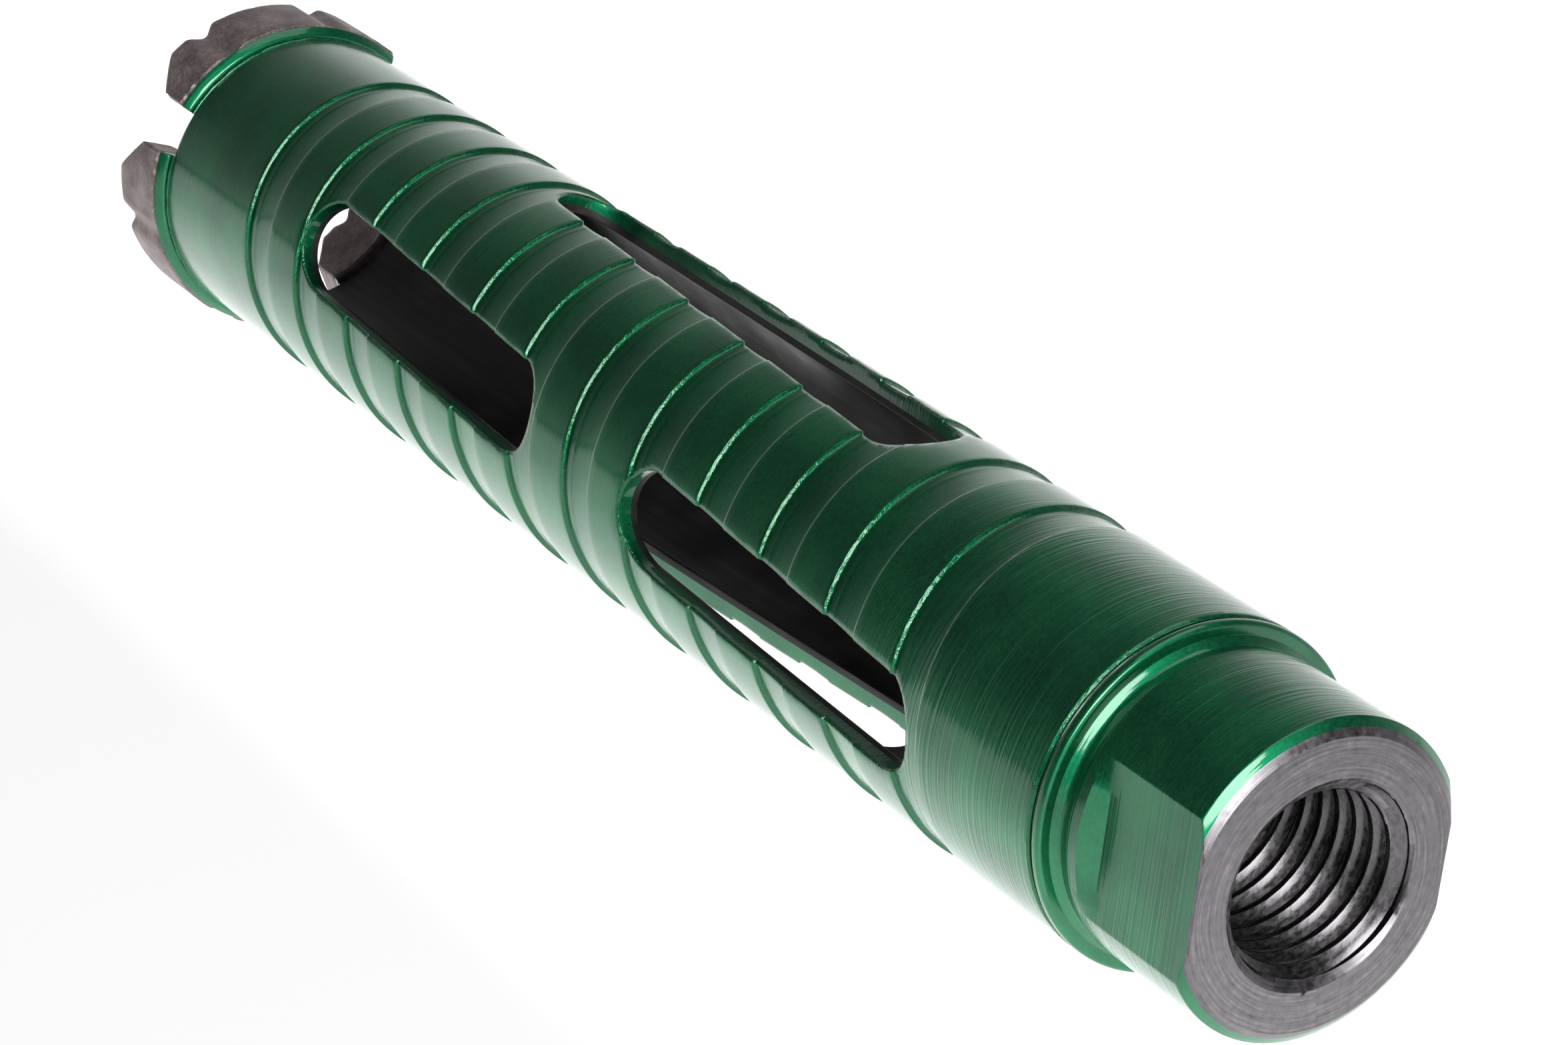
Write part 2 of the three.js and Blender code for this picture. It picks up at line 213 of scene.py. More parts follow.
def tidy_mesh(mesh, merge=1e-7, sharp=40.0):
    """Merges points that coincide, drops what collapses, turns faces out and shades smooth."""
    work = bmesh.new()
    work.from_mesh(mesh)
    bmesh.ops.remove_doubles(work, verts=work.verts, dist=merge)
    bmesh.ops.dissolve_degenerate(work, dist=merge, edges=work.edges)
    loose = [v for v in work.verts if not v.link_faces]
    bmesh.ops.delete(work, geom=loose, context="VERTS")
    bmesh.ops.recalc_face_normals(work, faces=work.faces)
    work.to_mesh(mesh)
    work.free()
    mesh.polygons.foreach_set("use_smooth", [True] * len(mesh.polygons))
    mesh.set_sharp_from_angle(angle=math.radians(sharp))


def grid_faces(rows, columns, wrap_rows=False, wrap_columns=False):
    """Quads over a rows x columns array of points."""
    faces = []
    for i in range(rows if wrap_rows else rows - 1):
        for j in range(columns if wrap_columns else columns - 1):
            k, m = (i + 1) % rows, (j + 1) % columns
            faces.append((i * columns + j, i * columns + m, k * columns + m, k * columns + j))
    return faces


def smooth(x):
    """0 below 0 and 1 above 1, with a soft rise between them."""
    x = np.clip(x, 0.0, 1.0)
    return x * x * (3.0 - 2.0 * x)


# ---- barrel surface -----------------------------------------------------------------------------

def flute_place(angle, z):
    """For a point of the barrel, the distance from the nearest steep wall towards the hub, and a
    factor that is 1 in the flute's whole run and falls to 0 where it starts and ends."""
    turn = 360.0 * (z - FLUTE_WALL_Z) / FLUTE_PITCH
    behind = (angle - turn) % 360.0
    along = turn + behind  # total angle of the turn that this point lies in
    from_wall = behind * FLUTE_PITCH / 360.0
    near_next = from_wall > FLUTE_PITCH + WALL_STEPS[0]
    from_wall = np.where(near_next, from_wall - FLUTE_PITCH, from_wall)
    along = np.where(near_next, along - 360.0, along)
    fade = smooth(np.minimum(along - FLUTE_FIRST, FLUTE_LAST - along) / FLUTE_FADE)
    return from_wall, fade


def flute_depth(angle, z):
    """Depth of the helical flute below the barrel's surface: a steep wall, a hollow floor that
    rises gently with one fine tool mark, and a small rounded step up to the land."""
    from_wall, fade = flute_place(angle, z)
    rise = np.maximum(from_wall - FLUTE_DEEPEST, 0.0) / (FLUTE_WIDTH - FLUTE_DEEPEST)
    hollow = FLUTE_DEPTH - (FLUTE_DEPTH - FLUTE_END_DEPTH) * rise * rise
    wall = np.interp(from_wall, WALL_STEPS, WALL_SHARES)
    mark = np.interp(from_wall, MARK_STEPS, (0.0, MARK_HEIGHT, 0.0))
    end = np.interp(from_wall, END_STEPS, END_SHARES)
    return (hollow * wall * end - mark) * fade


def outer_radius(angle, z):
    """Radius of the barrel's outside. The land is dressed down to the flute beside a slot."""
    depth = flute_depth(angle, z)
    beside = smooth(1.0 - to_slot(angle, z, BARREL_RADIUS) / DRESSED_REACH)
    dressing = DRESSED_SHARE * beside * np.maximum(DRESSED_DEPTH - depth, 0.0)
    return BARREL_RADIUS - depth - dressing


def row_angle(row, z):
    """Angle of the middle of a row's slots at a distance z."""
    return ROW_ANGLES[row] + SLOT_TWIST * (z - SLOT_MIDDLE)


def slots_of(row):
    """(middle, length) of each slot in a row."""
    if row % 2:
        return ((SLOT_MIDDLE, LONG_SLOT),)
    shift = (SHORT_SLOT + BRIDGE) / 2
    return ((SLOT_MIDDLE - shift, SHORT_SLOT), (SLOT_MIDDLE + shift, SHORT_SLOT))


def turn_from(angle, centre):
    """The turn from centre to angle, between -180 and 180."""
    return (angle - centre + 180.0) % 360.0 - 180.0


def soft_min(a, b, width):
    """The smaller of two distances, with the corner between them rounded."""
    h = np.clip(0.5 + 0.5 * (b - a) / width, 0.0, 1.0)
    return b * (1 - h) + a * h - width * h * (1 - h)


def to_slot(angle, z, radius):
    """Distance from a point of the barrel to the nearest slot, negative inside it."""
    distance = np.full(np.shape(z), np.inf)
    for row in range(len(ROW_ANGLES)):
        side = radius * np.sin(np.radians(np.clip(turn_from(angle, row_angle(row, z)), -90, 90)))
        for middle, length in slots_of(row):
            past = np.maximum(np.abs(z - middle) - (length - SLOT_WIDTH) / 2, 0.0)
            distance = np.minimum(distance, np.hypot(side, past) - SLOT_WIDTH / 2)
    return distance


def to_wall(angle, z, radius):
    """Distance over the surface from a point of the barrel to its nearest cut edge, less the bevel.
    Negative in a slot or past an end."""
    ends = np.minimum(z - BARREL_START, BARREL_END - z)
    return np.minimum(ends, to_slot(angle, z, radius)) - BEVEL


def wall_gradient(angle, z, radius):
    """Slope of to_wall round the barrel and along it, per millimetre."""
    step = 0.01
    turn = math.degrees(step / BARREL_RADIUS)
    around = to_wall(angle + turn, z, radius) - to_wall(angle - turn, z, radius)
    along = to_wall(angle, z + step, radius) - to_wall(angle, z - step, radius)
    return around / (2 * step), along / (2 * step)


def barrel_grid():
    """Angles and distances of a grid whose rows follow the flute and whose columns follow the slots."""
    half_slot = math.degrees(math.asin((SLOT_WIDTH / 2 + BEVEL) / BARREL_RADIUS))
    beside_slot, over_slot = 14, 17  # columns
    offsets = np.concatenate([
        np.linspace(-HALF_ROW, -half_slot, beside_slot)[:-1],
        np.linspace(-half_slot, half_slot, over_slot)[:-1],
        np.linspace(half_slot, HALF_ROW, beside_slot)[:-1],
    ])
    last_column = [ROW_ANGLES[-1] + HALF_ROW]
    columns = np.concatenate([angle + offsets for angle in ROW_ANGLES] + [last_column])
    line_offsets = WALL_STEPS + FLOOR_STEPS + END_STEPS + LAND_STEPS
    turns = range(-4, 15)
    starts = sorted(FLUTE_WALL_Z + k * FLUTE_PITCH - u for k in turns for u in line_offsets)
    rate = FLUTE_PITCH / 360.0
    base = np.asarray(starts)[:, None] + rate * (columns[None, :] - SLOT_TWIST * SLOT_MIDDLE)
    z = base / (1.0 - rate * SLOT_TWIST)
    margin = 1.2  # millimetres of grid past each end of the barrel
    keep = (z.max(1) > BARREL_START - margin) & (z.min(1) < BARREL_END + margin)
    z = z[keep]
    angle = columns[None, :] + SLOT_TWIST * (z - SLOT_MIDDLE)
    return angle, z


def snap_to_walls(angle, z):
    """Moves the grid points nearest to each cut edge on to it. Returns each point's side: 1 in the
    metal, 0 on an edge, -1 off the metal."""
    radius = outer_radius(angle, z)
    distance = to_wall(angle, z, radius)
    on_edge = np.zeros(distance.shape, bool)
    for axis in (0, 1):
        a = distance[:-1] if axis == 0 else distance[:, :-1]
        b = distance[1:] if axis == 0 else distance[:, 1:]
        crosses = a * b < 0
        first = crosses & (np.abs(a) <= np.abs(b))
        second = crosses & ~first
        if axis == 0:
            on_edge[:-1] |= first
            on_edge[1:] |= second
        else:
            on_edge[:, :-1] |= first
            on_edge[:, 1:] |= second
    side = np.sign(distance).astype(int)
    side[on_edge] = 0
    passes, least_slope = 6, 0.05
    for _ in range(passes):
        a, zz = angle[on_edge], z[on_edge]
        r = outer_radius(a, zz)
        d = to_wall(a, zz, r)
        around, along = wall_gradient(a, zz, r)
        scale = np.maximum(around ** 2 + along ** 2, least_slope)
        angle[on_edge] = a - np.degrees(d * around / scale / BARREL_RADIUS)
        z[on_edge] = zz - d * along / scale
    return side


def inner_angle(angle, z):
    """Angle on the bore's wall below a point of the outer surface: slot sides stay parallel."""
    result = angle.copy()
    edge = math.degrees(math.asin(SLOT_WIDTH / 2 / BARREL_RADIUS))
    edge_inside = math.degrees(math.asin(SLOT_WIDTH / 2 / BORE_RADIUS))
    for row in range(len(ROW_ANGLES)):
        off = turn_from(angle, row_angle(row, z))
        size = np.abs(off)
        moved = np.interp(size, [0.0, edge, HALF_ROW], [0.0, edge_inside, HALF_ROW])
        result = np.where(size < HALF_ROW, angle + np.sign(off) * (moved - size), result)
    return result


def nearest_slot_row(angle, z):
    """Row of the slot that an edge point belongs to, or -1 for the ends."""
    row_of = np.full(angle.shape, -1)
    aside, past_end = 30.0, 1.0  # degrees and millimetres by which an edge point may miss the slot
    for row in range(len(ROW_ANGLES)):
        off = turn_from(angle, row_angle(row, z))
        for middle, length in slots_of(row):
            inside = (np.abs(off) < aside) & (np.abs(z - middle) < length / 2 + past_end)
            row_of[inside] = row
    return row_of


def wall_rings(angle, z):
    """Rings of points down the cut wall below each edge point, from the outer surface to the bore."""
    radius = outer_radius(angle, z)
    row_of = nearest_slot_row(angle, z)
    in_slot = row_of >= 0
    centre = np.zeros_like(angle)
    for row in range(len(ROW_ANGLES)):
        centre = np.where(row_of == row, row_angle(row, z), centre)
    off = np.radians(np.where(in_slot, turn_from(angle, centre), 0.0))
    around, along = wall_gradient(angle, z, radius)
    around = around / np.cos(off)
    size = np.hypot(around, along)
    around, along = around / size, along / size
    side = radius * np.sin(off)
    top = radius * np.cos(off)
    bottom = np.sqrt(np.maximum(BORE_RADIUS ** 2 - side ** 2, 1.0))
    turns = np.radians(np.linspace(0.0, 90.0, BEVEL_RINGS))
    bevel = [(BEVEL * math.sin(t), BEVEL * (1 - math.cos(t))) for t in turns]
    levels = [(out, down, True) for out, down in bevel]
    levels += [(BEVEL, WALL_RING_DEPTH, True), (BEVEL, WALL_RING_DEPTH, False)]
    levels += [(out, down, False) for out, down in reversed(bevel)]
    rings = []
    for out, down, from_top in levels:
        zz = z - along * out
        s = side - around * out
        height = top - down if from_top else bottom + down
        slot_radius = np.hypot(s, height)
        slot_angle = centre + np.degrees(np.arctan2(s, height))
        plain_radius = radius - down if from_top else BORE_RADIUS + down
        plain_angle = angle - np.degrees(around * out / BARREL_RADIUS)
        r = np.where(in_slot, slot_radius, plain_radius)
        rings.append(place(r, np.where(in_slot, slot_angle, plain_angle), zz))
    return rings


def wall_shade_and_tear(angle, z):
    """1 on the flute's steep wall, fading to 0 on the flat parts. The lacquer is painted darker there
    as shade, and its surface is torn.
    """
    from_wall, fade = flute_place(angle, z)
    return np.clip(1.0 - np.abs(from_wall - SHADE_AND_TEAR_MIDDLE) / SHADE_AND_TEAR_REACH, 0.0, 1.0) * fade


def split_quad(quad, side, centre_in_metal):
    """The parts of a grid cell that are metal: the cell, one of its triangles, or nothing."""
    sides = [side[v] for v in quad]
    if min(sides) >= 0 and max(sides) > 0:
        return [quad]
    if max(sides) <= 0 and min(sides) < 0:
        return []
    if max(sides) == 0:
        return [quad] if centre_in_metal else []
    a = sides.index(1)
    return [(quad[a - 1], quad[a], quad[(a + 1) % 4])]


def barrel_mesh(lacquer, bare):
    """The tube with its flute and slots: an outer and an inner skin joined by the cut walls."""
    angle, z = barrel_grid()
    side = snap_to_walls(angle, z)
    rows, columns = angle.shape
    outer = place(outer_radius(angle, z), angle, z).reshape(-1, 3)
    inner = place(BORE_RADIUS, inner_angle(angle, z), z).reshape(-1, 3)
    flat_side = side.ravel()
    mid = [(v[:-1, :-1] + v[1:, :-1] + v[:-1, 1:] + v[1:, 1:]) / 4 for v in (angle, z)]
    mid_in = (to_wall(mid[0], mid[1], outer_radius(*mid)) > 0).ravel()
    surface = []
    for quad, inside in zip(grid_faces(rows, columns), mid_in):
        surface += split_quad(quad, flat_side, inside)

    uses = {}
    for face in surface:
        for a, b in zip(face, face[1:] + face[:1]):
            uses[(a, b)] = uses.get((a, b), 0) + 1
    rims = [(a, b) for a, b in uses if (b, a) not in uses and flat_side[a] == flat_side[b] == 0]
    rim_points = sorted({a for pair in rims for a in pair})
    picked = np.asarray(rim_points)
    rings = wall_rings(angle.ravel()[picked], z.ravel()[picked])
    order = {v: i for i, v in enumerate(rim_points)}

    count = len(outer)
    points = [outer, inner] + rings[1:-1]
    inner[picked] = rings[-1]
    starts = [0, count] + [2 * count + i * len(picked) for i in range(len(rings) - 2)]
    faces = list(surface)
    faces += [tuple(count + v for v in reversed(face)) for face in surface]
    # The bore's skin and the strips of the cut walls nearest the bore take the second material, steel
    # painted dark as shade.
    kinds = [0] * len(surface) + [1] * len(surface)
    for a, b in rims:
        chain_a = [a] + [s + order[a] for s in starts[2:]] + [count + a]
        chain_b = [b] + [s + order[b] for s in starts[2:]] + [count + b]
        for i in range(len(chain_a) - 1):
            faces.append((chain_b[i], chain_a[i], chain_a[i + 1], chain_b[i + 1]))
            kinds.append(0 if i < LACQUERED_STRIPS else 1)
    # Weights for painted shade and torn relief: the steep wall, the slots' rims and their bevels.
    point_shade_and_tear = np.concatenate([wall_shade_and_tear(angle, z).ravel(), np.zeros(count)])
    point_shade_and_tear[picked] = RIM_SHADE_AND_TEAR
    ring_shade_and_tear = [np.full(len(picked), w) for w in BEVEL_SHADE_AND_TEAR]
    ring_shade_and_tear += [np.zeros(len(picked))] * (len(rings) - 2 - len(ring_shade_and_tear))
    return make_object(
        "fluted_barrel", np.concatenate(points), faces, [lacquer, bare], kinds,
        np.concatenate([point_shade_and_tear] + ring_shade_and_tear),
    )


# ---- turned pieces ------------------------------------------------------------------------------

def rounded(points, steps=5):
    """(r, z) points of an outline whose corners are rounded. Each corner is (r, z, radius)."""
    outline = []
    largest_share = 0.49  # of a side, taken by one of its rounded corners
    for i, (r, z, radius) in enumerate(points):
        corner = np.array([r, z])
        if radius == 0 or i in (0, len(points) - 1):
            outline.append(corner)
            continue
        back = np.array(points[i - 1][:2]) - corner
        ahead = np.array(points[i + 1][:2]) - corner
        back_size, ahead_size = np.linalg.norm(back), np.linalg.norm(ahead)
        back, ahead = back / back_size, ahead / ahead_size
        half = math.acos(np.clip(back @ ahead, -1, 1)) / 2
        reach = min(
            radius / math.tan(half), largest_share * back_size, largest_share * ahead_size
        )
        for k in range(steps + 1):
            t = k / steps
            outline.append(corner + back * reach * (1 - t) ** 2 + ahead * reach * t ** 2)
    return outline


def resampled(outline, longest):
    """The outline with no stretch longer than the given length."""
    result = [outline[0]]
    for a, b in zip(outline, outline[1:]):
        pieces = max(1, math.ceil(np.linalg.norm(b - a) / longest))
        result += [a + (b - a) * k / pieces for k in range(1, pieces + 1)]
    return result


def thread_radius(angle, z):
    """Radius of the hub's bore: its internal thread, with a countersink and a run-out."""
    half_pitch = THREAD_PITCH / 2
    phase = np.abs((z - THREAD_PITCH * angle / 360.0 + half_pitch) % THREAD_PITCH - half_pitch)
    groove = np.interp(phase, THREAD_PHASES, THREAD_RADII)
    mouth = COUNTERSINK - z * COUNTERSINK_SLOPE
    runout = THREAD_MINOR + (z - THREAD_END)
    return np.minimum(np.maximum(np.maximum(groove, mouth), runout), COUNTERSINK)


def thread_run_out():
    """Where the thread has run out to the countersink's radius."""
    return THREAD_END + COUNTERSINK - THREAD_MINOR


def hub_columns(z):
    """Angles of the hub's columns at a distance z: one column stays on each edge of each flat."""
    revolved = np.interp(z, [0.0, FACE_CHAMFER], [FACE_RADIUS, NECK_RADIUS])
    edge = math.degrees(math.acos(FLAT_APOTHEM / revolved))
    near, next_near, wide = 0.2, 0.5, 2  # degrees from the edge to its neighbouring columns
    on_flat = np.concatenate([np.linspace(0, 1, 9) * (edge - next_near), [edge - near]])
    past_edge = [edge, edge + near, edge + next_near]
    beyond = np.concatenate([past_edge, np.linspace(edge + wide, 90, 24)])
    half = np.concatenate([on_flat, beyond])
    quarter_turns = np.concatenate([-half[::-1], half[1:]])
    both = np.concatenate([quarter_turns[:-1], quarter_turns + 180.0])
    return FLAT_ANGLE + both


def hub_outline():
    """The hub's turned outside, from the bore's mouth over the neck to the run-out, as (r, z, kind):
    kind 1 is bare metal and 0 is lacquered."""
    face = rounded([
        (COUNTERSINK, 0.0, 0.0), (FACE_RADIUS, 0.0, 0.10), (NECK_RADIUS, FACE_CHAMFER, 0.0),
    ])
    neck = rounded([
        (FACE_RADIUS, 0.0, 0.0), (NECK_RADIUS, FACE_CHAMFER, 0.25), (NECK_RADIUS, NECK_END, 0.3),
        (RELIEF_RADIUS, RELIEF_START, 0.25), (RELIEF_RADIUS, RELIEF_END, 0.5),
        (FLANGE_ROOT, FLANGE_FACE, 0.15), (BARREL_RADIUS, FLANGE_FACE, 0.42),
        (BARREL_RADIUS, FLANGE_BACK, 0.3), (FLANGE_BARE_RADIUS, FLANGE_BACK, 0.0),
    ])
    spigot = rounded([
        (FLANGE_BARE_RADIUS, FLANGE_BACK, 0.0), (SPIGOT_RADIUS, FLANGE_BACK, 0.0),
        (SPIGOT_RADIUS, HUB_END - SPIGOT_CHAMFER, 0.1),
        (SPIGOT_RADIUS - SPIGOT_CHAMFER, HUB_END, 0.1),
        (COUNTERSINK, HUB_END, 0.1), (COUNTERSINK, thread_run_out(), 0.0),
    ])
    face = [p for p in face if p[1] < LACQUER_START]
    neck = [p for p in resampled(neck, 1.0) if p[1] >= LACQUER_START]
    rows = [(r, z, 1) for r, z in resampled(face, 0.6)]
    rows += [(r, z, 0) for r, z in neck]
    rows += [(r, z, 1) for r, z in spigot]
    return rows


def flat_limit(z, off):
    """Largest radius that a wrench flat leaves at a distance z."""
    wall = np.interp(z, FLAT_END_PLACES, FLAT_END_RISES)
    return FLAT_APOTHEM / np.cos(np.radians(np.clip(off, -80, 80))) + wall


def hub_mesh(lacquer, bare, thread):
    """The hub: its turned outside with two wrench flats, then its threaded bore from the far end
    back to the mounting face."""
    radii, angles, along, kinds = [], [], [], []
    for r, z, kind in hub_outline():
        columns = hub_columns(z)
        off = np.minimum(
            np.abs(turn_from(columns, FLAT_ANGLE)), np.abs(turn_from(columns, FLAT_ANGLE + 180))
        )
        turned = np.full_like(off, r)
        limited = soft_min(turned, flat_limit(z, off), FLAT_EDGE)
        radii.append(limited if z < NECK_END else turned)
        angles.append(columns)
        along.append(np.full_like(off, z))
        kinds.append(kind)
    columns = hub_columns(FLAT_LENGTH)
    advance = THREAD_PITCH * columns / 360.0
    for turn in range(THREAD_LAST_TURN, THREAD_FIRST_TURN - 1, -1):
        for line in reversed(THREAD_LINES):
            z = np.clip(turn * THREAD_PITCH + line + advance, 0.0, thread_run_out())
            radii.append(thread_radius(columns, z))
            angles.append(columns)
            along.append(z)
            kinds.append(2)
    rows, count = len(radii), len(columns)
    points = place(np.array(radii), np.array(angles), np.array(along)).reshape(-1, 3)
    faces = grid_faces(rows, count)
    face_kinds = np.repeat(kinds[:-1], count - 1)
    tolerance = 0.03
    off_cone = np.array(radii) - COUNTERSINK + np.array(along) * COUNTERSINK_SLOPE
    cone = np.abs(off_cone) < tolerance
    on_cone = cone[:-1, :-1] & cone[1:, :-1] & cone[:-1, 1:] & cone[1:, 1:]
    face_kinds = np.where(on_cone.ravel() & (face_kinds == 2), 1, face_kinds)
    materials = [lacquer, bare, thread]
    return make_object("threaded_hub_body", points, faces, materials, face_kinds)


def lathe_mesh(name, outline, material, longest, columns, wave):
    """A ring turned from a closed outline of (r, z) points. wave adds to the radius by angle and z."""
    outline = np.array(resampled(outline + outline[:1], longest)[:-1])
    angle = np.linspace(0, 360, columns, endpoint=False)
    r = np.repeat(outline[:, :1], columns, 1)
    z = np.repeat(outline[:, 1:], columns, 1)
    a = np.repeat(angle[None, :], len(outline), 0)
    points = place(r + wave(a, z), a, z).reshape(-1, 3)
    faces = grid_faces(len(outline), columns, True, True)
    return make_object(name, points, faces, [material])


def braze_ring_mesh(filler):
    """A slightly sunken fillet of filler in the joint between the flange and the barrel."""
    ends = (FILLET_BORE, FILLET_START), (FILLET_BORE, FILLET_END)
    outline = [np.array(p) for p in ends[:1] + FILLET_OUTSIDE + ends[1:]]
    lumps = np.random.default_rng(4).uniform(0, 2 * math.pi, 6)

    def uneven(angle, z):
        a = np.radians(angle)
        waves = sum(np.sin(a * (3 + 4 * k) + lumps[k]) / (k + 2) for k in range(len(lumps)))
        rise = smooth((z - FILLET_START) / FILLET_CALM)
        fall = smooth((FILLET_END - z) / FILLET_CALM)
        return FILLET_WAVE * waves * rise * fall

    return lathe_mesh("joint_fillet", outline, filler, 0.1, 240, uneven)


# ---- crown --------------------------------------------------------------------------------------

def segment_spans():
    """Start and end angle of each segment, from one gullet to the next."""
    following = GULLET_ANGLES[1:] + (GULLET_ANGLES[0] + 360.0,)
    half_gap = GULLET_GAP / 2
    return [(a + half_gap, b - half_gap) for a, b in zip(GULLET_ANGLES, following)]


def swept_segment(name, span, section, materials, step, end_radius, rough=0.0, seed=0):
    """A block swept round the axis over a segment's span. section(from_end, inset) gives its closed
    outline of (r, z) at an angle from the nearer end, shrunk by inset towards the block's inside.
    The two end walls meet the sides in rounded edges. Faces of the bore take the last material."""
    length = span[1] - span[0]
    turns = np.radians(np.linspace(0, 90, 6))
    ends = [(end_radius * (1 - math.sin(t)), end_radius * (1 - math.cos(t))) for t in turns]
    rows = [(0.0, depth_in, inset) for inset, depth_in in ends]
    count = round(length / step)
    rows += [(length * k / count, 0.0, 0.0) for k in range(1, count)]
    rows += [(length, -depth_in, inset) for inset, depth_in in reversed(ends)]
    points = []
    for along, shift, inset in rows:
        outline = np.array(section(min(along, length - along), inset))
        angle = span[0] + along + math.degrees(shift / CROWN_RADIUS)
        points.append(place(outline[:, 0], angle, outline[:, 1]))
    points = np.array(points)
    rows_count, columns = points.shape[:2]
    faces = grid_faces(rows_count, columns, False, True)
    faces.append(tuple(range(columns)))
    faces.append(tuple(reversed(range((rows_count - 1) * columns, rows_count * columns))))
    piece = make_object(name, points.reshape(-1, 3), faces, materials)
    for face in piece.data.polygons:
        in_bore = math.hypot(face.center.y, face.center.z) < (CROWN_BORE + BORE_SIDE) * MM
        face.material_index = len(materials) - 1 if in_bore else 0
    if rough:
        roughen(piece.data, rough, seed)
    return piece


def roughen(mesh, depth, seed):
    """Moves points along their normals by a coarse and a fine grain, always inwards."""
    offset = Vector((seed * 3.1, seed * 1.7, seed * 0.9))
    moves = []
    for vertex in mesh.vertices:
        at = vertex.co / MM
        coarse = noise.noise(at * COARSE_GRAIN + offset)
        fine = noise.noise(at * FINE_GRAIN + offset)
        moves.append(-depth * (0.9 + 0.6 * coarse + 0.5 * fine))
    normals = [v.normal.copy() for v in mesh.vertices]
    for vertex, normal, move in zip(mesh.vertices, normals, moves):
        vertex.co = vertex.co + normal * move * MM


def block_section(inner, outer, start, top, corners, inset):
    """Rounded outline of a block: its inner and outer radius, its start and its top, shrunk by inset.
    corners are the radii at (inner start, outer start, outer top, inner top)."""
    a, b, c, d = corners
    low_r, high_r, low_z, high_z = inner + inset, outer - inset, start + inset, top - inset
    middle = (low_r + high_r) / 2
    loop = rounded([
        (middle, low_z, 0), (high_r, low_z, b), (high_r, high_z, c),
        (low_r, high_z, d), (low_r, low_z, a), (middle, low_z, 0),
    ], 6)
    return spaced(loop[:-1], LAYER_POINTS)


def spaced(loop, count):
    """count points at equal distances along a closed loop."""
    loop = np.array(list(loop) + [loop[0]])
    size = np.concatenate([[0], np.cumsum(np.linalg.norm(np.diff(loop, axis=0), axis=1))])
    at = np.linspace(0, size[-1], count, endpoint=False)
    return np.stack([np.interp(at, size, loop[:, 0]), np.interp(at, size, loop[:, 1])], -1)


def cutting_layer_mesh(index, span, material):
    """The diamond layer of a segment, with sloping shoulders at its ends and two shallow valleys."""
    slope = (CUTTING_EDGE - SHOULDER_Z) / SHOULDER_ANGLE
    half_length = (span[1] - span[0]) / 2

    def section(from_end, inset):
        from_middle = half_length - from_end
        valley = float(smooth(1 - abs(from_middle - VALLEY_ANGLE) / VALLEY_HALF))
        below_edge = CUTTING_EDGE - SHOULDER_Z - from_end * slope
        dropped = soft_max_zero(max(below_edge, 0.0), SHOULDER_ROUNDING)
        top = CUTTING_EDGE - dropped - VALLEY_DEPTH_Z * valley
        outer = CROWN_RADIUS - VALLEY_DEPTH_R * valley
        return block_section(CROWN_BORE, outer, LAYER_START, top, LAYER_CORNERS, inset)

    name = f"segment_{index}_diamond_layer"
    return swept_segment(name, span, section, [material], 0.8, 0.55, rough=0.035, seed=index)


def soft_max_zero(x, width):
    """x where it is above 0, else 0, with the corner rounded."""
    return 0.5 * (x + np.sqrt(x * x + width * width)) - 0.5 * width


def foot_mesh(index, span, lacquer, bare):
    """The steel foot under a diamond layer, chamfered on its outside towards the barrel."""
    def section(_, inset):
        low_r, high_r, low_z, high_z = CROWN_BORE, FOOT_RADIUS, FOOT_START, LAYER_START
        middle = (low_r + high_r) / 2
        loop = rounded([
            (middle, low_z + inset, 0),
            (high_r - FOOT_CHAMFER - inset, low_z + inset, 0.12),
            (high_r - inset, low_z + FOOT_CHAMFER + inset, 0.15),
            (high_r - inset, high_z - inset, 0.05),
            (low_r + inset, high_z - inset, 0.1),
            (low_r + inset, low_z + inset, 0.1),
            (middle, low_z + inset, 0),
        ], 4)
        return spaced(loop[:-1], FOOT_POINTS)

    name = f"segment_{index}_steel_foot"
    # Its faces towards the bore take the second material, steel painted dark as shade.
    return swept_segment(name, span, section, [lacquer, bare], 1.5, 0.2, rough=0.012, seed=index)


def seam_mesh(index, span, material, bare):
    """The weld bead between the barrel and a segment's foot, its crest uneven and wandering."""
    ripple = np.random.default_rng(20 + index).uniform(0, 2 * math.pi, 3)

    def waved(height, rate, at, start):
        return height * math.sin(rate * at + start)

    def section(from_end, inset):
        a = math.radians(from_end)
        wave = waved(*SEAM_RIPPLES[0], a, ripple[0]) + waved(*SEAM_RIPPLES[1], a, ripple[1])
        crest = SEAM_RADIUS + wave - inset
        shift = waved(*SEAM_WANDER, a, ripple[2])
        low_z, high_z = SEAM_START, SEAM_END
        low_r, high_r = BORE_RADIUS + 0.1, BARREL_RADIUS - 0.03
        middle = (low_r + high_r) / 2
        loop = rounded([
            (middle, low_z, 0), (high_r, low_z, 0.05), (crest, (low_z + high_z) / 2 + shift, 0.3),
            (high_r, high_z, 0.05), (low_r, high_z, 0), (low_r, low_z, 0), (middle, low_z, 0),
        ], 4)
        return spaced(loop[:-1], SEAM_POINTS)

    name = f"segment_{index}_seam_bead"
    # Its faces towards the bore take the second material, steel painted dark as shade.
    return swept_segment(name, span, section, [material, bare], 1.0, 0.1)


# ---- materials ----------------------------------------------------------------------------------

def set_stops(node, stops):
    """Gives a colour ramp its (position, colour) stops."""
    elements = node.color_ramp.elements
    while len(elements) < len(stops):
        elements.new(0.5)
    for element, (position, colour) in zip(elements, stops):
        element.position = position
        element.color = (*colour, 1.0)


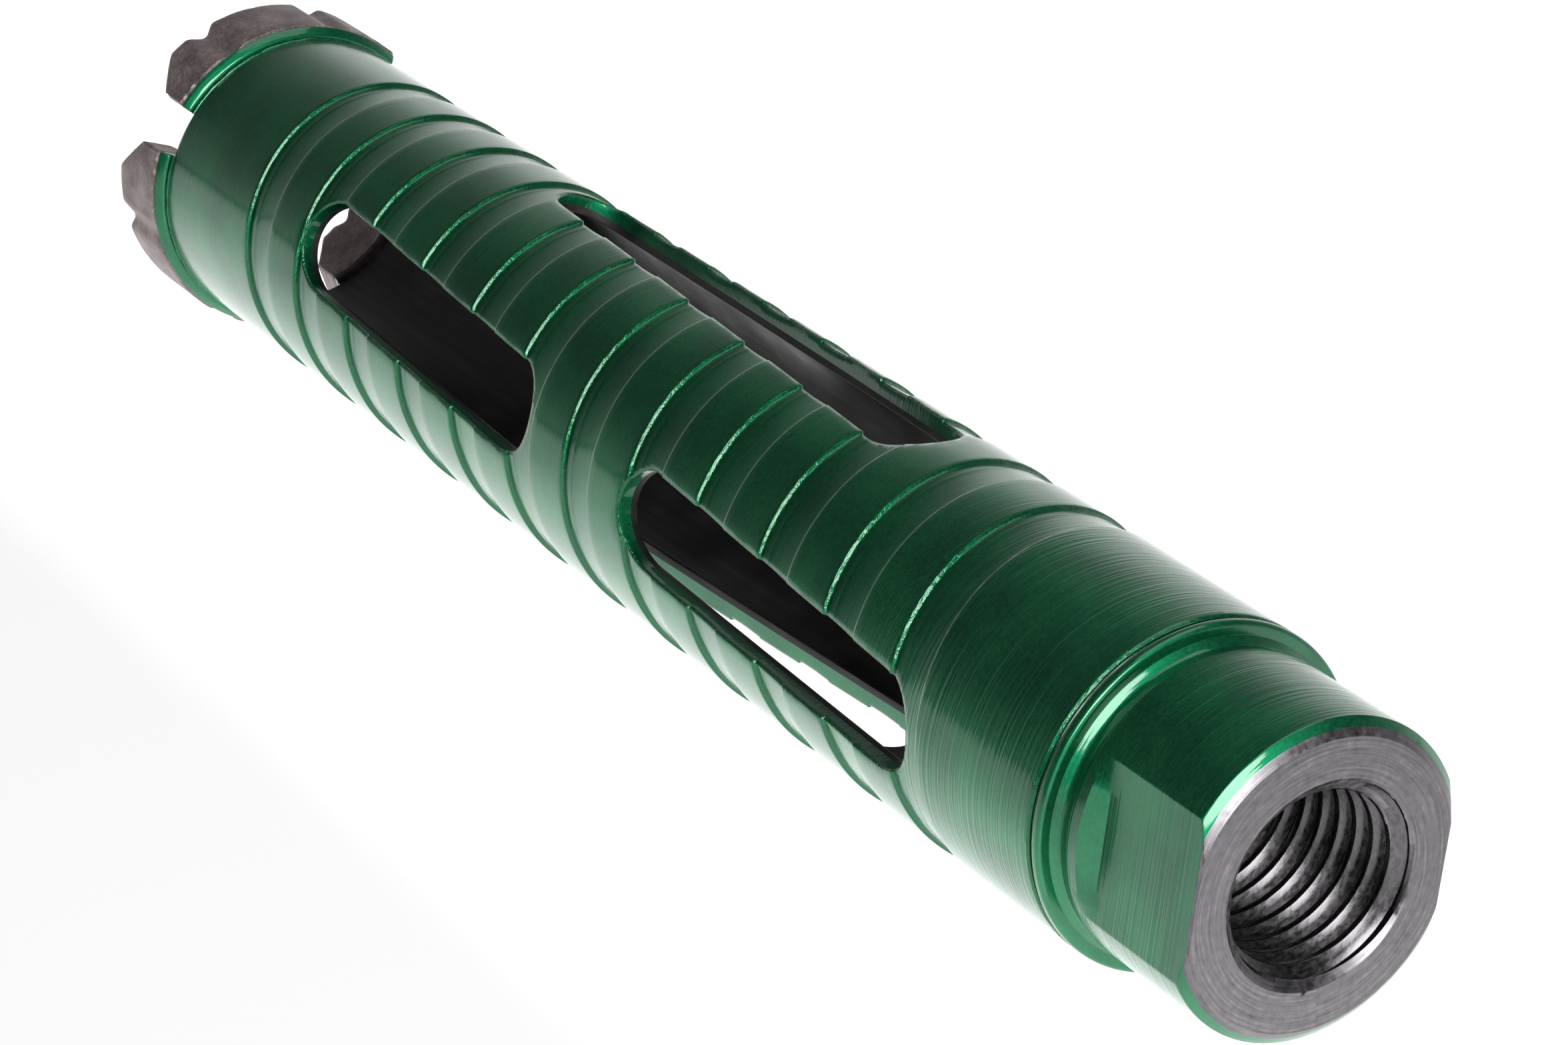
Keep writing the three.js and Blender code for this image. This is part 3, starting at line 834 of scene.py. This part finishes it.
class Nodes:
    """Builds one node material, a line per node."""

    def __init__(self, name, **values):
        self.material = bpy.data.materials.new(name)
        self.material.use_nodes = True
        self.tree = self.material.node_tree
        self.shader = self.tree.nodes["Principled BSDF"]
        for key, value in values.items():
            socket = key.replace("_", " ").title().replace("Ior", "IOR")
            self.shader.inputs[socket].default_value = value
        self.place = self.tree.nodes.new("ShaderNodeTexCoord").outputs["Object"]

    def feed(self, socket, value):
        """Joins a node's output to a socket, or sets the socket to a plain value."""
        if isinstance(value, bpy.types.NodeSocket):
            self.tree.links.new(value, socket)
        else:
            socket.default_value = value

    def add(self, kind, **inputs):
        node = self.tree.nodes.new(kind)
        for key, value in inputs.items():
            self.feed(node.inputs[key], value)
        return node

    def link(self, source, target):
        """Joins a node's output to one of the shader's inputs."""
        self.tree.links.new(source, self.shader.inputs[target])

    def math(self, operation, a, b=0.0):
        node = self.tree.nodes.new("ShaderNodeMath")
        node.operation = operation
        self.feed(node.inputs[0], a)
        self.feed(node.inputs[1], b)
        return node.outputs[0]

    def noise(self, scale, detail=2.0, stretch=(1.0, 1.0, 1.0), roughness=0.5, source=None):
        """Noise with features of 1 / scale metres, stretched by the given factors."""
        where = self.add("ShaderNodeVectorMath")
        where.operation = "MULTIPLY"
        self.tree.links.new(source or self.place, where.inputs[0])
        where.inputs[1].default_value = tuple(scale * s for s in stretch)
        node = self.add("ShaderNodeTexNoise", Vector=where.outputs[0])
        node.inputs["Scale"].default_value = 1.0
        node.inputs["Detail"].default_value = detail
        node.inputs["Roughness"].default_value = roughness
        return node.outputs[0]

    def ramp(self, value, *stops):
        """A colour ramp from (position, colour) stops."""
        node = self.add("ShaderNodeValToRGB", Fac=value)
        set_stops(node, stops)
        return node.outputs[0]

    def levels(self, value, low, high, out_low=0.0, out_high=1.0):
        """Maps low..high to out_low..out_high."""
        node = self.add("ShaderNodeMapRange", Value=value)
        node.inputs["From Min"].default_value = low
        node.inputs["From Max"].default_value = high
        node.inputs["To Min"].default_value = out_low
        node.inputs["To Max"].default_value = out_high
        return node.outputs[0]

    def mix(self, factor, a, b):
        """A colour between a, which is a node's output, and the plain colour b."""
        node = self.tree.nodes.new("ShaderNodeMix")
        node.data_type = "RGBA"
        self.feed(node.inputs[0], factor)
        self.feed(node.inputs[6], a)
        self.feed(node.inputs[7], (*b, 1.0))
        return node.outputs[2]

    def bump(self, height, distance, strength=1.0):
        """A normal for relief that is distance metres deep."""
        node = self.add("ShaderNodeBump", Height=height, Strength=strength, Distance=distance)
        return node.outputs[0]


# Colours, as (position in the material's tone, colour) stops.
LACQUER_TONES = (
    (0.34, (0.003, 0.115, 0.048)), (0.5, (0.005, 0.160, 0.066)), (0.66, (0.012, 0.210, 0.082)),
)
# Painted shade: the darker lacquer on the steep walls and cut edges.
LACQUER_PAINTED_SHADE = (0.002, 0.12, 0.042)
# Painted shade: the thread's steel is coloured very dark for the shade inside the bore.
THREAD_SHADE_TONES = (0.35, (0.08, 0.077, 0.08)), (0.7, (0.13, 0.124, 0.13))
TURNED_TONES = (
    (0.3, (0.10, 0.094, 0.102)), (0.55, (0.185, 0.175, 0.186)), (0.75, (0.31, 0.295, 0.31)),
)
# Painted shade: the tube's inside, the lower slot walls and the inner faces of the feet and beads are
# coloured very dark.
TUBE_SHADE_TONES = (
    (0.3, (0.022, 0.022, 0.022)), (0.55, (0.05, 0.047, 0.047)), (0.8, (0.11, 0.10, 0.098)),
)
FILLER_TONES = (0.3, (0.001, 0.02, 0.01)), (0.7, (0.004, 0.08, 0.035))
WELD_TONES = (0.3, (0.003, 0.06, 0.03)), (0.7, (0.01, 0.2, 0.09))
SINTERED_TONES = (
    (0.32, (0.10, 0.078, 0.080)), (0.5, (0.23, 0.185, 0.185)), (0.7, (0.42, 0.345, 0.335)),
)
FLOOR_GREY = (0.35, 0.35, 0.35, 1.0)
FLOOR_WHITE = (1.0, 1.0, 1.0, 1.0)
# Strength of the floor's glow, as (metres across the bit, strength) stops: brightest under the bit,
# fading to nothing far to the left.
FLOOR_GLOW = ((-0.40, 0.0), (-0.12, 0.62), (-0.045, 0.64), (-0.006, 1.3), (0.03, 1.0), (0.10, 0.8))
FLOOR_GLOW_SCALE = 2.0  # the ramp holds the glow divided by this


def lacquer_material():
    """Translucent dark green lacquer over turned steel. It is painted darker as shade on the flute's
    steep walls and round the slots' cut edges, where its surface is also torn.
    """
    m = Nodes(
        "green_lacquer", metallic=1.0, roughness=0.5, coat_weight=1.0, coat_roughness=0.07,
        coat_ior=1.5,
    )
    rings = m.noise(3900.0, 1.0, (1.0, 0.012, 0.012), 0.5)
    fine = m.noise(9000.0, 2.0, (1.0, 0.02, 0.02), 0.6)
    cloud = m.noise(170.0, 3.0)
    grain = m.noise(5200.0, 3.0, (1.0, 0.5, 0.5), 0.6)
    tone = m.math("ADD", m.math("MULTIPLY", cloud, 0.65), m.math("MULTIPLY", grain, 0.35))
    body = m.ramp(tone, *LACQUER_TONES)
    edge = m.add("ShaderNodeAttribute")
    edge.attribute_name = "edge"
    # The edge weight darkens the colour as painted shade and tears the surface by bump.
    shade_and_tear_mask = m.levels(edge.outputs["Fac"], 0.35, 0.95)
    m.link(m.mix(shade_and_tear_mask, body, LACQUER_PAINTED_SHADE), "Base Color")
    m.link(m.levels(grain, 0.35, 0.65, 0.42, 0.52), "Roughness")
    where = m.add("ShaderNodeSeparateXYZ", Vector=m.place)
    turned = m.levels(where.outputs[0], -0.045, -0.032, 0.15, 1.0)
    height = m.math("ADD", m.math("MULTIPLY", rings, turned), m.math("MULTIPLY", fine, 0.15))
    torn = m.noise(4200.0, 3.0, (1.0, 0.25, 0.25), 0.65)
    height = m.math("ADD", height, m.math("MULTIPLY", torn, m.math("MULTIPLY", shade_and_tear_mask, 3.0)))
    m.link(m.bump(m.math("ADD", height, m.math("MULTIPLY", grain, 0.2)), 0.00006), "Normal")
    m.link(m.bump(height, 0.00004), "Coat Normal")
    return m.material


def thread_steel_material():
    """The cut thread, painted very dark as the shade inside the bore, and shiny on its crests."""
    m = Nodes("shaded_thread_steel", metallic=1.0, roughness=0.25)
    marks = m.noise(6500.0, 2.0, (1.0, 0.3, 0.3), 0.5)
    m.link(m.ramp(marks, *THREAD_SHADE_TONES), "Base Color")
    m.link(m.levels(marks, 0.3, 0.7, 0.22, 0.34), "Roughness")
    m.link(m.bump(marks, 0.00003, 0.3), "Normal")
    return m.material


def turned_steel_material():
    """Bare steel with the concentric marks of a facing cut."""
    m = Nodes("turned_steel", metallic=1.0, roughness=0.34)
    parts = m.add("ShaderNodeSeparateXYZ", Vector=m.place)
    y, z = parts.outputs[1], parts.outputs[2]
    radius = m.math("SQRT", m.math("ADD", m.math("MULTIPLY", y, y), m.math("MULTIPLY", z, z)))
    around = m.math("ARCTAN2", y, z)
    spiral = m.add("ShaderNodeCombineXYZ")
    m.tree.links.new(radius, spiral.inputs[0])
    m.tree.links.new(m.math("MULTIPLY", around, 0.0004), spiral.inputs[1])
    m.tree.links.new(parts.outputs[0], spiral.inputs[2])
    marks = m.noise(5200.0, 2.0, (1.0, 1.0, 1.0), 0.6, spiral.outputs[0])
    bands = m.noise(1100.0, 2.0, (1.0, 1.0, 1.0), 0.5, spiral.outputs[0])
    grain = m.noise(1500.0, 3.0)
    tone = m.math("ADD", m.math("MULTIPLY", marks, 0.6), m.math("MULTIPLY", grain, 0.4))
    m.link(m.ramp(tone, *TURNED_TONES), "Base Color")
    m.link(m.levels(grain, 0.3, 0.7, 0.28, 0.48), "Roughness")
    height = m.math("ADD", marks, m.math("MULTIPLY", bands, 0.8))
    m.link(m.bump(height, 0.00002, 0.5), "Normal")
    return m.material


def shaded_bore_steel_material():
    """The slightly brown wall of the tube's inside, painted very dark as the shade in the bore and on
    the crown's inner faces.
    """
    m = Nodes("bore_steel_painted_shade", metallic=0.9, roughness=0.45)
    streaks = m.noise(1400.0, 3.0, (0.06, 1.0, 1.0))
    stain = m.noise(160.0, 4.0)
    tone = m.math("ADD", m.math("MULTIPLY", streaks, 0.4), m.math("MULTIPLY", stain, 0.6))
    m.link(m.ramp(tone, *TUBE_SHADE_TONES), "Base Color")
    m.link(m.levels(stain, 0.3, 0.7, 0.34, 0.55), "Roughness")
    m.link(m.bump(streaks, 0.00002, 0.4), "Normal")
    return m.material


def filler_material():
    """Brazing filler under a thick coat of lacquer."""
    m = Nodes("lacquered_filler", metallic=0.8, roughness=0.35, coat_weight=0.8, coat_roughness=0.2)
    lumps = m.noise(1800.0, 3.0)
    m.link(m.ramp(lumps, *FILLER_TONES), "Base Color")
    m.link(m.bump(lumps, 0.00004, 0.5), "Normal")
    return m.material


def weld_material():
    """The weld beads, lacquered like the barrel."""
    m = Nodes("lacquered_weld", metallic=0.85, roughness=0.4, coat_weight=0.8, coat_roughness=0.2)
    ripple = m.noise(2400.0, 3.0)
    m.link(m.ramp(ripple, *WELD_TONES), "Base Color")
    m.link(m.bump(ripple, 0.00006, 0.6), "Normal")
    return m.material


def sintered_material():
    """Sintered bronze and cobalt with diamond grit, ground once to open it."""
    m = Nodes("sintered_diamond_layer", metallic=0.75, roughness=0.45)
    grain = m.noise(2600.0, 4.0, roughness=0.65)
    patches = m.noise(420.0, 3.0)
    pores = m.noise(5200.0, 2.0)
    tone = m.math("ADD", m.math("MULTIPLY", grain, 0.5), m.math("MULTIPLY", patches, 0.5))
    m.link(m.ramp(tone, *SINTERED_TONES), "Base Color")
    m.link(m.levels(grain, 0.3, 0.7, 0.36, 0.6), "Roughness")
    height = m.math("ADD", grain, m.math("MULTIPLY", pores, 0.6))
    m.link(m.bump(height, 0.00006, 0.6), "Normal")
    return m.material


def floor_material():
    """A pale light table, glowing as painted light. It glows most under the bit, so the bit's own
    shadow stays faint. It fades towards the left and past the hub end, a painted shade in what the bit
    reflects there.
    """
    m = Nodes("pale_floor", base_color=FLOOR_GREY, roughness=0.8, emission_color=FLOOR_WHITE)
    where = m.add("ShaderNodeSeparateXYZ", Vector=m.place)
    across = where.outputs[1]
    before_hub = m.levels(where.outputs[0], 0.015, 0.16, FLOOR_GLOW_SCALE, 0.3)
    low, high = FLOOR_GLOW[0][0], FLOOR_GLOW[-1][0]
    stops = [
        ((y - low) / (high - low), (level / FLOOR_GLOW_SCALE,) * 3) for y, level in FLOOR_GLOW
    ]
    glow = m.ramp(m.levels(across, low, high), *stops)
    m.link(m.math("MULTIPLY", glow, before_hub), "Emission Strength")
    return m.material


# ---- the pieces ---------------------------------------------------------------------------------

SHADING_WEIGHT = 50


def finish_piece(piece, slot, *nodes):
    """Evens out shading where big and small faces meet, and ties the piece to the frame."""
    weighted = piece.modifiers.new("even_shading", "WEIGHTED_NORMAL")
    weighted.keep_sharp = True
    weighted.weight = SHADING_WEIGHT
    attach(piece, "root")
    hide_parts(*nodes)


lacquer = lacquer_material()
turned_steel = turned_steel_material()
sintered = sintered_material()
weld = weld_material()
shaded_bore_steel = shaded_bore_steel_material()

finish_piece(barrel_mesh(lacquer, shaded_bore_steel), "lacquered_steel", "barrel_tube")
hub = hub_mesh(lacquer, turned_steel, thread_steel_material())
finish_piece(hub, "lacquered_steel", "threaded_hub")
finish_piece(braze_ring_mesh(filler_material()), "filler_metal", "hub_braze_ring")
for number, span in enumerate(segment_spans(), 1):
    layer = cutting_layer_mesh(number, span, sintered)
    foot = foot_mesh(number, span, lacquer, shaded_bore_steel)
    seam = seam_mesh(number, span, weld, shaded_bore_steel)
    finish_piece(layer, "sintered_metal", f"segment_{number}_cutting_layer")
    finish_piece(foot, "lacquered_steel", f"segment_{number}_foot")
    finish_piece(seam, "weld_metal", f"segment_{number}_weld_seam")


# ---- floor and light ----------------------------------------------------------------------------

FLOOR_SIZE, FLOOR_CELLS = 3.0, 24
SHOULDER_REST = 0.0155  # metres from the mounting face to where the hub's shoulder touches
WORLD_LEAN = (0.3, -0.35, 0.77)  # the dark part overhead leans to the front left
WORLD_SHIFT = 0.46  # where the horizon lies on the gradient
WORLD_LEVELS = ((0.0, 0.9), (0.17, 0.85), (0.39, 0.34), (0.585, 0.12), (0.72, 0.04), (1.0, 0.1))
LIGHT_TARGET = (-0.085, 0.0, 0.0)
LIGHTS = (  # name, place, size, power
    ("overhead_softbox", (-0.05, 0.3, 1.3), (1.2, 1.0), 5.0),
    ("camera_side_softbox", (0.72, -0.27, 0.47), (0.55, 0.55), 11.0),
)


def make_floor():
    """The bit rests on its crown and on the hub's shoulder, so it lies very slightly tipped."""
    shoulder_low = -BARREL_RADIUS * MM
    slope = (shoulder_low + CROWN_RADIUS * MM) / (-SHOULDER_REST - cad_low.x)
    work = bmesh.new()
    bmesh.ops.create_grid(
        work, x_segments=FLOOR_CELLS, y_segments=FLOOR_CELLS, size=FLOOR_SIZE
    )
    for vertex in work.verts:
        vertex.co.z = shoulder_low + slope * (vertex.co.x + SHOULDER_REST)
    mesh = bpy.data.meshes.new("floor")
    work.to_mesh(mesh)
    work.free()
    mesh.materials.append(floor_material())
    floor = bpy.data.objects.new("floor", mesh)
    bpy.context.collection.objects.link(floor)


def make_world():
    """Soft studio surroundings: pale low down at the back, darker overhead and at the front."""
    world = bpy.data.worlds.new("studio")
    bpy.context.scene.world = world
    world.use_nodes = True
    tree = world.node_tree
    direction = tree.nodes.new("ShaderNodeTexCoord").outputs["Generated"]
    height = tree.nodes.new("ShaderNodeVectorMath")
    height.operation = "DOT_PRODUCT"
    height.inputs[1].default_value = WORLD_LEAN
    tree.links.new(direction, height.inputs[0])
    raised = tree.nodes.new("ShaderNodeMath")
    raised.inputs[1].default_value = WORLD_SHIFT
    tree.links.new(height.outputs["Value"], raised.inputs[0])
    ramp = tree.nodes.new("ShaderNodeValToRGB")
    set_stops(ramp, [(position, (level,) * 3) for position, level in WORLD_LEVELS])
    tree.links.new(raised.outputs[0], ramp.inputs[0])
    background = tree.nodes["Background"]
    tree.links.new(ramp.outputs[0], background.inputs["Color"])
    background.inputs["Strength"].default_value = 1.0


def make_light(name, place_at, size, power):
    """A rectangular lamp that faces the middle of the bit."""
    data = bpy.data.lights.new(name, "AREA")
    data.shape = "RECTANGLE"
    data.size, data.size_y = size
    data.energy = power
    light = bpy.data.objects.new(name, data)
    light.location = Vector(place_at)
    aim = Vector(LIGHT_TARGET) - light.location
    light.rotation_euler = aim.to_track_quat("-Z", "Y").to_euler()
    bpy.context.collection.objects.link(light)


bpy.context.scene.view_settings.view_transform = "Standard"
make_floor()
make_world()
for light in LIGHTS:
    make_light(*light)
